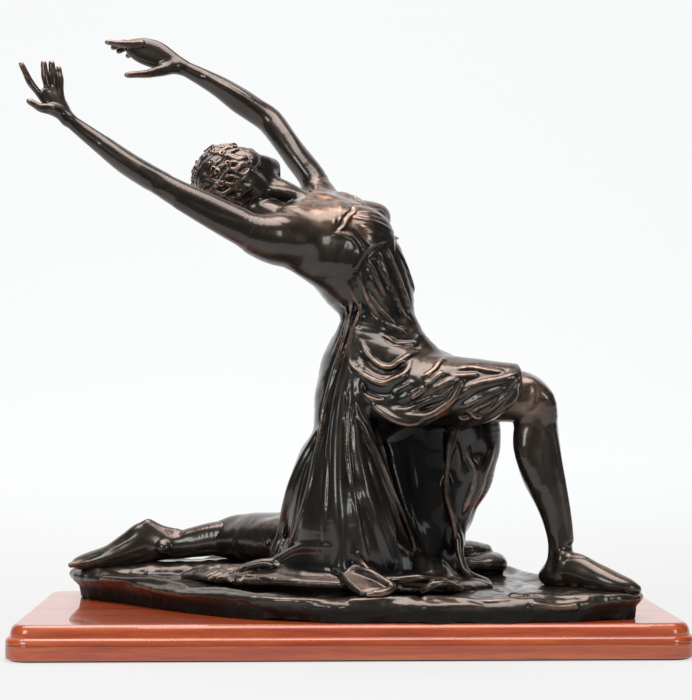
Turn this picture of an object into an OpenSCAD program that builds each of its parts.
// Bronze statuette of a kneeling dancer, cast in sections, on a moulded timber base.
// Millimetres, +Z up, origin at the middle of the underside. The figure faces +X and
// its right side is towards -Y.

/* [Base board] */
// Length of the board
board_l = 380; // [370:2:400]
// Depth of the board
board_w = 180; // [178:2:200]
// Height of the board with its felt
board_h = 20; // [19.5:0.25:20.5]
// Radius of the board's corners
corner_r = 14; // [12:1:20]
// Width of the moulded edge
edge_w = 6.6; // [6:0.2:8]
// Thickness of the felt under the board
felt_t = 1; // [0.8:0.1:1.5]
// How far the felt stops short of the board's edge
felt_inset = 2.5; // [1:0.5:5]

/* [Bronze] */
// Wall of the hollow castings
wall = 4; // [3:0.5:5]
// Depth of the skirt's folds at the hem
fold_depth = 3; // [1:0.2:4]
// Number of deep folds round the skirt
fold_count = 17; // [9:2:23]

/* [Fixings] */
// Diameter of the dowels between castings
dowel_d = 3; // [2.5:0.5:4]
// Diameter of the screws that hold the bronze to the board
screw_d = 5; // [4:1:6]
// Diameter of the screws that hold the figure to the ground
stud_d = 4; // [3:1:5]

/* [Hidden] */
$fn = 48;

// Gap round a dowel or a screw in its hole.
slip = 0.05;

// The ground's deck slopes up to the back. deck_rise is its height over the board at y = 0.
deck_rise = 17;
deck_tilt = 3.4;
deck_z = board_h + deck_rise;

// Screw places. The board's are in plan; the figure's are in the plane of the deck.
base_screws_at = [[-110, 25], [0, -25], [105, -40]];
figure_screws_at = [[-42, -12], [40, -14], [128, -40]];
figure_boss_h = 12;
counterbore_h = 7;
washer_t = 1;

// Places on the body.
neck_root = [-16, -5, 251];
jaw = [-42, -5, 267];
head_mid = [-66, -2, 275];
shoulder_r = [-42, -38, 234];
elbow_r = [-113, -48, 268];
wrist_r = [-161, -51, 302];
shoulder_l = [-17, 32, 268];
elbow_l = [-48, 52, 317];
wrist_l = [-103, 50, 350];
waist = [19, -3, 195];
knee_front = [103, -33, 143];

// Lines towards the figure's right side: through the hips and through the shoulders.
hip_side = [0.16, -0.98, 0];
shoulder_side = unit(shoulder_r - shoulder_l);

function unit(v) = v / norm(v);
function mix(a, b, t) = a + (b - a) * t;
function xyz(v) = [v[0], v[1], v[2]];
function deck_at(y) = deck_z + y * tan(deck_tilt);

// A smooth curve through the rows of a list: t counts along the rows.
function spline_at(rows, t) =
    let (
        n = len(rows) - 1,
        i = max(0, min(floor(t), n - 1)),
        u = t - i,
        a = rows[max(i - 1, 0)],
        b = rows[i],
        c = rows[i + 1],
        d = rows[min(i + 2, n)]
    )
    0.5 * (2 * b + (c - a) * u + (2 * a - 5 * b + 4 * c - d) * u * u
        + (3 * b - a - 3 * c + d) * u * u * u);
function spline(rows, steps) =
    [for (i = [0 : steps]) spline_at(rows, i * (len(rows) - 1) / steps)];

// An oval ring of n points round place, across the direction way, a wide along side and b deep.
function oval(place, way, side, a, b, n) =
    let (w = unit(way), s = unit(side - (side * w) * w), f = cross(w, s))
    [for (j = [0 : n - 1]) place + a * cos(j * 360 / n) * s + b * sin(j * 360 / n) * f];

// A closed skin through rings that all have the same number of points.
module skin(rings) {
    n = len(rings[0]);
    m = len(rings);
    sides = [
        for (i = [0 : m - 2]) for (j = [0 : n - 1])
            let (k = (j + 1) % n)
            for (tri = [
                [i * n + j, (i + 1) * n + k, i * n + k],
                [i * n + j, (i + 1) * n + j, (i + 1) * n + k]
            ]) tri
    ];
    first = [for (j = [0 : n - 1]) j];
    last = [for (j = [n - 1 : -1 : 0]) (m - 1) * n + j];
    polyhedron(points = [for (r = rings) for (p = r) p], faces = concat(sides, [first, last]));
}

// A limb along rows of [x, y, z, half width along side, half depth].
module limb(rows, side, steps, n) {
    path = spline(rows, steps);
    skin([for (i = [0 : steps])
        let (way = xyz(path[min(i + 1, steps)]) - xyz(path[max(i - 1, 0)]))
        oval(xyz(path[i]), way, side, path[i][3], path[i][4], n)]);
}

// A closed oval lump, half a wide along side, b deep and h high along way.
module lump(place, way, side, a, b, h, n = 16) {
    bands = 8;
    skin([for (i = [0 : bands])
        let (t = -84 + i * 168 / bands)
        oval(place + h * sin(t) * unit(way), way, side, a * cos(t), b * cos(t), n)]);
}

// A rounded ridge of cloth through rows of [x, y, z, radius].
module ridge(rows, steps) {
    path = spline(rows, steps);
    for (i = [0 : steps - 1]) hull()
        for (p = [path[i], path[i + 1]]) translate(xyz(p)) sphere(p[3], $fn = 10);
}

// A straight rod from the first end to the second.
module rod(ends, r) {
    d = ends[1] - ends[0];
    translate(ends[0])
        rotate([0, acos(d[2] / norm(d)), atan2(d[1], d[0])])
            cylinder(r = r, h = norm(d), $fn = 24);
}

// Local frame with z = 0 on the ground's deck.
module on_deck() {
    translate([0, 0, deck_z]) rotate([deck_tilt, 0, 0]) children();
}

// Everything below a plane parallel to the deck, depth under it.
module under_deck(depth = 0) {
    on_deck() translate([-board_l, -board_w, -board_l - depth])
        cube([2 * board_l, 2 * board_w, board_l]);
}

// ---- Board ----

// Moulding, from the bottom up: small round, flat, groove, bead, quirk and ovolo.
// x counts inwards from the board's outer face.
ovolo = [4, 6.2];
bead_h = 3.4;
quirk = 0.6;
groove_r = 0.5;
foot_r = 1.2;
bead_top = board_h - ovolo[1] - quirk;
bead_in = edge_w - ovolo[0];
groove_z = bead_top - bead_h - groove_r;
edge_profile = concat(
    [for (a = [-90 : 15 : 0])
        [foot_r * (1 - cos(a)), felt_t + foot_r * (1 + sin(a))]],
    [for (a = [-90 : 30 : 90]) [groove_r * cos(a), groove_z + groove_r * sin(a)]],
    [for (a = [10 : 16 : 90]) [bead_in * (1 - cos(a)), bead_top - bead_h * (1 - sin(a))]],
    [[bead_in, bead_top + quirk]],
    [for (a = [9 : 9 : 90])
        [edge_w - ovolo[0] * cos(a), board_h - ovolo[1] * (1 - sin(a))]],
    [[edge_w, felt_t]]
);

module edge_run(length) {
    rotate([90, 0, 0]) linear_extrude(height = length, center = true) polygon(edge_profile);
}

module edge_corner() {
    rotate_extrude(angle = 90, $fn = 64)
        polygon([for (p = edge_profile) [corner_r - p[0], p[1]]]);
}

module rounded_plate(l, w, r, h) {
    linear_extrude(height = h) {
        square([l - 2 * r, w], center = true);
        square([l, w - 2 * r], center = true);
        for (x = [-1, 1]) for (y = [-1, 1])
            translate([x * (l / 2 - r), y * (w / 2 - r)]) circle(r);
    }
}

module board_blank() {
    translate([0, 0, felt_t]) rounded_plate(board_l - 2 * edge_w, board_w - 2 * edge_w,
        corner_r - edge_w, board_h - felt_t);
    for (turn = [0, 180]) rotate(turn) {
        translate([-board_l / 2, 0, 0]) edge_run(board_w - 2 * corner_r);
        rotate(90) translate([-board_w / 2, 0, 0]) edge_run(board_l - 2 * corner_r);
        translate([board_l / 2 - corner_r, board_w / 2 - corner_r, 0]) edge_corner();
        translate([corner_r - board_l / 2, board_w / 2 - corner_r, 0]) rotate(90) edge_corner();
    }
}

module wood_base() {
    color("#8a3a22") difference() {
        board_blank();
        for (p = base_screws_at) translate(p) {
            cylinder(d = screw_d + 0.5, h = 2 * board_h);
            cylinder(d = 2.6 * screw_d, h = felt_t + counterbore_h);
        }
    }
}

module felt_sheet() {
    color("#1f3a2c") rounded_plate(board_l - 2 * felt_inset, board_w - 2 * felt_inset,
        corner_r - felt_inset, felt_t);
}

module base_washers() {
    color("silver") for (p = base_screws_at)
        translate([p[0], p[1], felt_t + counterbore_h - washer_t]) difference() {
            cylinder(d = 2.2 * screw_d, h = washer_t);
            translate([0, 0, -1]) cylinder(d = screw_d + 0.3, h = washer_t + 2);
        }
}

// A hexagon-socket screw along +Z whose head seats at z = 0.
module socket_screw(d, length) {
    head_h = 0.6 * d;
    difference() {
        union() {
            translate([0, 0, -head_h]) cylinder(d = 1.8 * d, h = head_h);
            translate([0, 0, -head_h]) cylinder(d = d, h = head_h + length);
        }
        translate([0, 0, -head_h - 1]) cylinder(d = 0.9 * d, h = 1 + head_h / 2, $fn = 6);
    }
}

grip = 8;

module base_screws() {
    seat = felt_t + counterbore_h - washer_t;
    color("gray") for (p = base_screws_at)
        translate([p[0], p[1], seat]) socket_screw(screw_d, board_h + grip - seat);
}

// Threaded bosses brazed under the ground's deck.
module base_bosses() {
    color("#8c6a3c") for (p = base_screws_at) difference() {
        translate([p[0], p[1], board_h]) cylinder(d = 2.4 * screw_d, h = deck_rise);
        on_deck() translate([p[0] - 20, p[1] - 20, -wall]) cube([40, 40, 30]);
        translate([p[0], p[1], board_h - 1])
            cylinder(d = screw_d + 2 * slip, h = grip + 1.4);
    }
}

// ---- Ground ----

// Plan of the ground, anticlockwise from the end under the rear foot.
ground_plan = [
    [-170, 52], [-156, 29], [-134, 10], [-104, -22], [-68, -54], [-26, -76],
    [22, -82], [80, -83], [132, -79], [160, -72], [165, -56], [152, -28],
    [122, 0], [108, 34], [90, 58], [52, 73], [-6, 78], [-66, 80], [-122, 79], [-160, 70]
];

// Edge of the ground: [share of its height, how far in], from its foot over the lip to the deck.
ground_edge = [[0, 1], [0.28, 3.5], [0.5, 1.5], [0.72, -0.5], [0.9, 0.5], [1, 5]];

// A ring of the ground at a share of the way from the board up to a plane under the deck.
function ground_ring(share, inset, depth, ripple) =
    let (closed = concat(ground_plan, [ground_plan[0]]), n = 2 * len(ground_plan))
    [for (i = [0 : n - 1])
        let (
            p = spline_at(closed, i / 2),
            q = p - unit(p) * (inset + ripple * sin(i * 137) * cos(i * 61)),
            top = deck_at(q[1]) - depth
        )
        [q[0], q[1], board_h + share * (top - board_h)]];

module ground_block() {
    skin([for (e = ground_edge) ground_ring(e[0], e[1], 0, e[0] > 0 ? 1.4 : 0)]);
}

module ground_hollow() {
    below = -0.2;
    skin([ground_ring(below, wall + 6, wall, 0), ground_ring(1, wall + 9, wall, 0)]);
}

// Bank of ground that carries the shin, and the stepped rock behind the skirt.
module ground_bank() {
    limb([
        [-134, 44, 36, 6, 6], [-112, 38, 37, 11, 9], [-86, 36, 38, 12, 11], [-62, 34, 38, 10, 9]
    ], [0, 1, 0], 6, 12);
}

module ground_rock() {
    lump([92, 52, 37], [0, 0, 1], [1, 0.2, 0], 15, 9, 7, 12);
    lump([86, 56, 42], [0, 0, 1], [1, 0.2, 0], 11, 8, 11, 12);
}

module ground_casting() {
    color("#2b211c") difference() {
        union() {
            ground_block();
            ground_bank();
            ground_rock();
        }
        ground_hollow();
        rear_leg_shape();
        on_deck() for (p = figure_screws_at)
            translate([p[0], p[1], -2 * wall]) cylinder(d = stud_d + 0.4, h = 4 * wall);
    }
}

module figure_screws() {
    color("gray") on_deck() for (p = figure_screws_at)
        translate([p[0], p[1], -wall]) socket_screw(stud_d, wall + figure_boss_h - 3);
}

// Threaded bosses brazed inside the skirt and the front foot.
module figure_bosses() {
    color("#8c6a3c") on_deck() for (p = figure_screws_at) translate([p[0], p[1], 0])
        difference() {
            cylinder(d = 2.2 * stud_d, h = figure_boss_h);
            translate([0, 0, -1]) cylinder(d = stud_d + 2 * slip, h = figure_boss_h - 1);
        }
}

module boss_sockets() {
    on_deck() for (p = figure_screws_at)
        translate([p[0], p[1], -1]) cylinder(d = 2.2 * stud_d, h = figure_boss_h + 1);
}

// ---- Skirt ----

// Rings from the hem up: [height, middle x, middle y, half length, half depth, share of folds].
skirt_rings = [
    [33, 0, -8, 52, 53, 1], [50, 2, -6, 46, 47, 1], [70, 4, -4, 41, 41, 1],
    [90, 6, -3, 38, 37, 0.9], [110, 8, -3, 34, 33, 0.8], [130, 12, -3, 31, 30, 0.7],
    [150, 14, -3, 31, 27, 0.5], [166, 16, -3, 27, 24, 0.4], [181, 18, -3, 23, 21, 0.3],
    [195, 19, -3, 21.5, 19.5, 0.2]
];
skirt_sides = 72;
skirt_bands = 14;

function skirt_ring(q, inset, n, folded) =
    [for (i = [0 : n - 1])
        let (
            a = i * 360 / n,
            waves = 0.7 * cos(fold_count * a + q[0]) + 0.45 * cos(7 * a - q[0]),
            r = folded ? fold_depth * q[5] * waves - inset : -inset
        )
        [q[1] + (q[3] + r) * cos(a), q[2] + (q[4] + r) * sin(a), q[0]]];

module skirt_skin() {
    skin([for (q = spline(skirt_rings, skirt_bands)) skirt_ring(q, 0, skirt_sides, true)]);
}

module skirt_cavity() {
    low = [for (q = skirt_rings) if (q[0] < 160) q - [4, 0, 0, 0, 0, 0]];
    skin([for (q = spline(low, 7)) skirt_ring(q, wall + 1.2 * fold_depth, 24, false)]);
}

// Cloth over the raised thigh, cut on a slant above the knee.
module thigh_drape() {
    limb([
        [16, -12, 150, 22, 24], [38, -20, 147, 22, 24], [58, -26, 146, 21, 22.5],
        [76, -30, 147, 19, 19.5], [90, -32, 149.5, 17, 14.5], [97, -32, 151.5, 15.5, 10.5]
    ], [0.2, -1, 0], 9, 20);
}

// Cloth that falls from the far side of the thigh to the ground, and its hollow, open below.
far_fall_rows = [
    [62, -4, 150, 12, 26], [66, 0, 126, 12, 26], [64, 4, 100, 13, 26],
    [58, 6, 74, 14, 22], [50, 6, 50, 16, 20], [50, 6, 30, 18, 20]
];

module far_fall() {
    limb(far_fall_rows, [0, 1, 0], 9, 16);
}

module far_fall_cavity() {
    limb([for (r = far_fall_rows) if (r[2] < 140) r - [0, 0, 2, wall, wall]], [0, 1, 0], 7, 16);
}

// Cloth that trails behind over the calf of the kneeling leg.
module calf_drape() {
    limb([
        [6, 12, 58, 24, 20], [-24, 20, 55, 21, 20], [-48, 27, 55, 18, 20], [-66, 31, 52, 15, 19],
        [-74, 32, 48, 13, 16]
    ], [0, 1, 0], 7, 18);
}

// Hems and folds that lie on the ground.
module trailing_cloth() {
    ridge([[-104, -10, 37, 3], [-84, -26, 38, 5], [-62, -42, 37, 5], [-36, -52, 36, 6]], 5);
    ridge([[-96, 12, 38, 4], [-72, 0, 40, 6], [-48, -18, 42, 8], [-26, -30, 44, 8]], 5);
    ridge([[-30, -48, 38, 8], [-6, -58, 35, 8], [12, -66, 33, 7], [28, -62, 33, 5]], 5);
    ridge([[30, -52, 36, 6], [52, -58, 34, 5], [74, -44, 35, 5], [92, -30, 36, 4]], 5);
}

module skirt_casting() {
    color("#2f241e") difference() {
        union() {
            skirt_skin();
            thigh_drape();
            far_fall();
            calf_drape();
            trailing_cloth();
        }
        skirt_cavity();
        far_fall_cavity();
        trunk();
        front_leg_shape();
        rear_leg_shape();
        ground_bank();
        boss_sockets();
        dowel_holes([front_leg_dowel_ends, rear_leg_dowel_ends]);
        waist_rods(dowel_d + 2 * slip, 9 + dowel_d, 36);
        under_deck();
    }
}

// ---- Trunk ----

// Sections: place, way across which it lies, side line, half width and half depth.
trunk_sections = [
    concat([18, -3, 181], [0, 0, 1], hip_side, 16, 17),
    concat([18.5, -3, 188], [0, 0, 1], hip_side, 16, 17),
    concat(waist - [0, 0, 0.5], [0, 0, 1], hip_side, 19, 21),
    concat([14, -3, 208], [-0.3, 0, 1], mix(hip_side, shoulder_side, 0.4), 22, 25.5),
    concat([3, -3, 222], [-0.45, 0, 0.9], mix(hip_side, shoulder_side, 0.8), 28, 29.5),
    concat([-7, -3, 236], [-0.55, 0, 0.83], shoulder_side, 32, 26),
    concat([-17, -4, 248], [-0.7, 0, 0.7], shoulder_side, 31, 16.5),
    concat([-23, -4, 256], [-0.8, 0, 0.6], shoulder_side, 22, 9),
    concat([-27, -4, 259], [-0.8, 0, 0.6], shoulder_side, 10, 5)
];

module trunk() {
    skin([for (q = spline(trunk_sections, 16))
        oval(xyz(q), [q[3], q[4], q[5]], [q[6], q[7], q[8]], q[9], q[10], 28)]);
}

module bust() {
    for (side = [-1, 1])
        lump([11, -4, 244] + side * 11 * shoulder_side, [0.55, 0, 0.84], shoulder_side,
            15, 15, 16);
}

module shoulder_caps() {
    lump(shoulder_r + [14, 7, 5], shoulder_side, [1, 0, 0], 13, 12, 20);
    lump(shoulder_l + [3, -8, -9], shoulder_side, [1, 0, 0], 12, 12, 20);
}

module torso_cavity() {
    skin([for (q = spline([for (i = [0, 2, 3, 4, 5]) trunk_sections[i]], 6))
        oval(xyz(q) - [0, 0, 3], [q[3], q[4], q[5]], [q[6], q[7], q[8]],
            q[9] - 2 * wall, q[10] - 2 * wall, 20)]);
}

module torso_casting() {
    color("#2d221c") difference() {
        union() {
            trunk();
            bust();
            shoulder_caps();
        }
        torso_cavity();
        right_arm_limb();
        left_arm_limb();
        neck();
        dowel_holes([neck_dowel_ends, right_shoulder_dowel_ends, left_shoulder_dowel_ends]);
        waist_rods(dowel_d + 2 * slip, 9 + dowel_d, 36);
    }
}

// ---- Head ----

// The head lies back: crown towards -X, face to the sky.
crown_way = [-0.98, 0.05, 0.1];
face_way = [0.2, 0.7, 0.65];
head_side = cross(crown_way, face_way);

module neck() {
    limb([
        concat(neck_root, 9, 9), concat(mix(neck_root, jaw, 0.5), 9, 9), concat(jaw, 9.5, 9.5),
        concat(head_mid + [6, 0, -4], 10, 10)
    ], head_side, 7, 18);
}

module head_casting() {
    color("#33261f") difference() {
        union() {
            neck();
            // Skull and jaw.
            limb([
                concat(head_mid - 25 * crown_way + 5 * face_way, 4, 4),
                concat(head_mid - 20 * crown_way + 4 * face_way, 9, 8.5),
                concat(head_mid - 8 * crown_way + 2 * face_way, 15, 15),
                concat(head_mid + 8 * crown_way, 18, 18),
                concat(head_mid + 20 * crown_way - face_way, 13, 13),
                concat(head_mid + 25 * crown_way - 2 * face_way, 4, 4)
            ], head_side, 10, 20);
            // Hair, full over the crown and gathered at the nape.
            lump(head_mid + 7 * crown_way - 3 * face_way, crown_way, head_side, 20, 19.5, 21, 20);
            lump(head_mid + 2 * crown_way - 13 * face_way, crown_way, head_side, 14, 9, 14, 16);
        }
        right_arm_limb();
        dowel_holes([neck_dowel_ends]);
    }
}

// ---- Arms ----

// A hand: palm, fingers and thumb. Each digit is [root, middle joint, tip].
module hand(wrist, knuckles, palm_side, half_width, digits) {
    limb([
        concat(wrist, 4, 3.4), concat(mix(wrist, knuckles, 0.4), 0.85 * half_width, 4),
        concat(knuckles, half_width, 3.2),
        concat(mix(wrist, knuckles, 1.15), 0.8 * half_width, 1.5)
    ], palm_side, 5, 14);
    for (d = digits)
        limb([
            concat(d[0], 2.3, 2.2), concat(mix(d[0], d[1], 0.9), 2.2, 2.1),
            concat(mix(d[1], d[2], 0.7), 1.8, 1.7), concat(d[2], 0.7, 0.7)
        ], palm_side, 5, 8);
}

module right_arm_limb() {
    limb([
        concat(shoulder_r + [6, 1, -2], 8, 8), concat(shoulder_r, 12.5, 12.5),
        [-60, -42, 240, 10.5, 11], [-84, -45, 252, 8.8, 8.8], concat(elbow_r, 7.2, 6.8),
        [-131, -49, 279, 6.6, 6.4], [-150, -50, 294, 4.6, 4.8], concat(wrist_r, 4.2, 3.8)
    ], [0.4, -1, 0], 15, 16);
}

module right_arm_shape() {
    right_arm_limb();
    hand(wrist_r, [-171, -51, 317], [-1, -0.5, 0.2], 6.5, [
        [[-167, -49, 316], [-167, -47, 326], [-167, -46, 334]],
        [[-170, -50, 317], [-171, -50, 328], [-171, -49, 335.5]],
        [[-173, -51, 317], [-175, -53, 326], [-175, -52, 333]],
        [[-175, -52, 313], [-181, -56, 323], [-186, -57, 332]],
        [[-165, -54, 304], [-174, -58, 306], [-182, -59, 311]]
    ]);
}

module right_arm_casting() {
    color("#33261f") difference() {
        right_arm_shape();
        dowel_holes([right_shoulder_dowel_ends]);
    }
}

module left_arm_limb() {
    limb([
        concat(shoulder_l + [2, -4, -5], 6, 6), concat(shoulder_l, 9.5, 9.5),
        [-27, 39, 288, 8.2, 8.2], [-39, 46, 304, 8.2, 8], concat(elbow_l, 8.6, 8.6),
        [-64, 52, 328, 8.6, 8.2], [-82, 51, 340, 6.2, 6], concat(wrist_l, 4.2, 3.6)
    ], [0.4, -1, 0], 15, 16);
}

module left_arm_shape() {
    left_arm_limb();
    hand(wrist_l, [-127, 51, 360], [0.45, 0, 0.9], 8, [
        [[-126, 48, 363], [-138, 47, 363], [-149, 46, 364]],
        [[-127, 50, 362], [-139, 50, 362], [-145, 50, 359]],
        [[-126, 52, 360], [-137, 53, 360], [-142, 53, 357]],
        [[-125, 54, 357], [-133, 56, 357], [-138, 56, 355]],
        [[-108, 48, 349], [-122, 44, 344], [-136, 43, 343]]
    ]);
}

module left_arm_casting() {
    color("#33261f") difference() {
        left_arm_shape();
        dowel_holes([left_shoulder_dowel_ends]);
    }
}

// ---- Legs ----

module front_leg_shape() {
    // Stub of the thigh, knee, calf and ankle.
    limb([
        [52, -23, 147, 13, 13], [70, -27, 146, 15, 15], [88, -31, 146, 15, 15],
        concat(knee_front, 15, 15), [108, -33, 128, 13, 13.5], [109, -33, 112, 12.5, 13],
        [113, -34, 97, 10.5, 11], [118, -35, 82, 8, 8.5], [121, -35, 68, 7, 7.6],
        [121, -36, 54, 7.5, 8.5], [119, -36, 40, 8, 10]
    ], [0.2, -1, 0], 20, 18);
    // Foot in a soft slipper.
    limb([
        [111, -29, 42, 4, 5], [117, -32, 44, 7.5, 11], [128, -40, 44, 8.5, 13.5],
        [142, -50, 41, 10, 9.5], [153, -57, 38.5, 10, 6.5], [161, -61, 37, 7, 4.5],
        [165, -63, 36.5, 3, 2]
    ], [0.5, 0.8, 0], 9, 18);
}

module front_leg_casting() {
    color("#3a2a22") difference() {
        front_leg_shape();
        boss_sockets();
        dowel_holes([front_leg_dowel_ends]);
        under_deck();
    }
}

module rear_leg_shape() {
    limb([
        [2, 18, 56, 13, 13], [-20, 23, 57, 15, 14], [-50, 29, 58, 13, 13],
        [-77, 33, 57.5, 11, 10.5], [-92, 35, 55, 9, 9.3], [-104, 36, 53, 8, 8.5],
        [-114, 37, 54, 7.5, 10.5], [-122, 38, 54.5, 7.5, 13.5], [-131, 38.5, 51, 8, 11.5],
        [-143, 39, 46, 8.5, 8], [-155, 40, 43.5, 8, 6], [-163, 41, 42, 5.5, 4], [-166.5, 41, 41.5, 2, 1.5]
    ], [0, 1, 0], 22, 18);
}

module rear_leg_casting() {
    color("#2b211c") difference() {
        rear_leg_shape();
        skirt_cavity();
        dowel_holes([rear_leg_dowel_ends]);
        under_deck();
    }
}

// ---- Dowels, as [from, to] ----

neck_dowel_ends = [neck_root + [14, 1, -9], mix(neck_root, jaw, 0.55)];
right_shoulder_dowel_ends = [shoulder_r + [20, 8, 0], shoulder_r + [-10, -2, 2]];
left_shoulder_dowel_ends = [shoulder_l + [3, -11, -15], shoulder_l + [-5, 4, 10]];
front_leg_dowel_ends = [[40, -20, 148], [68, -26.5, 146]];
rear_leg_dowel_ends = [[-46, 12, 51], [-46, 34, 60]];

module dowel(ends) {
    color("#b08040") rod(ends, dowel_d / 2);
}

module dowel_holes(list) {
    for (ends = list) let (way = 0.3 * unit(ends[1] - ends[0]))
        rod([ends[0] - way, ends[1] + way], dowel_d / 2 + slip);
}

// Cross pins through the waist joint, one before and one behind.
module waist_rods(d, apart, length) {
    for (x = [-1, 1]) translate([waist[0] + x * apart / 2, waist[1], waist[2] - 8])
        rotate([90, 0, 0]) cylinder(d = d, h = length, center = true, $fn = 24);
}

module neck_dowel() { dowel(neck_dowel_ends); }
module right_shoulder_dowel() { dowel(right_shoulder_dowel_ends); }
module left_shoulder_dowel() { dowel(left_shoulder_dowel_ends); }
module front_leg_dowel() { dowel(front_leg_dowel_ends); }
module rear_leg_dowel() { dowel(rear_leg_dowel_ends); }
module waist_dowels() {
    color("#b08040") waist_rods(dowel_d, 9 + dowel_d, 34);
}

wood_base();
felt_sheet();
base_screws();
base_washers();
base_bosses();
ground_casting();
figure_screws();
figure_bosses();
skirt_casting();
torso_casting();
head_casting();
right_arm_casting();
left_arm_casting();
front_leg_casting();
rear_leg_casting();
neck_dowel();
right_shoulder_dowel();
left_shoulder_dowel();
waist_dowels();
front_leg_dowel();
rear_leg_dowel();
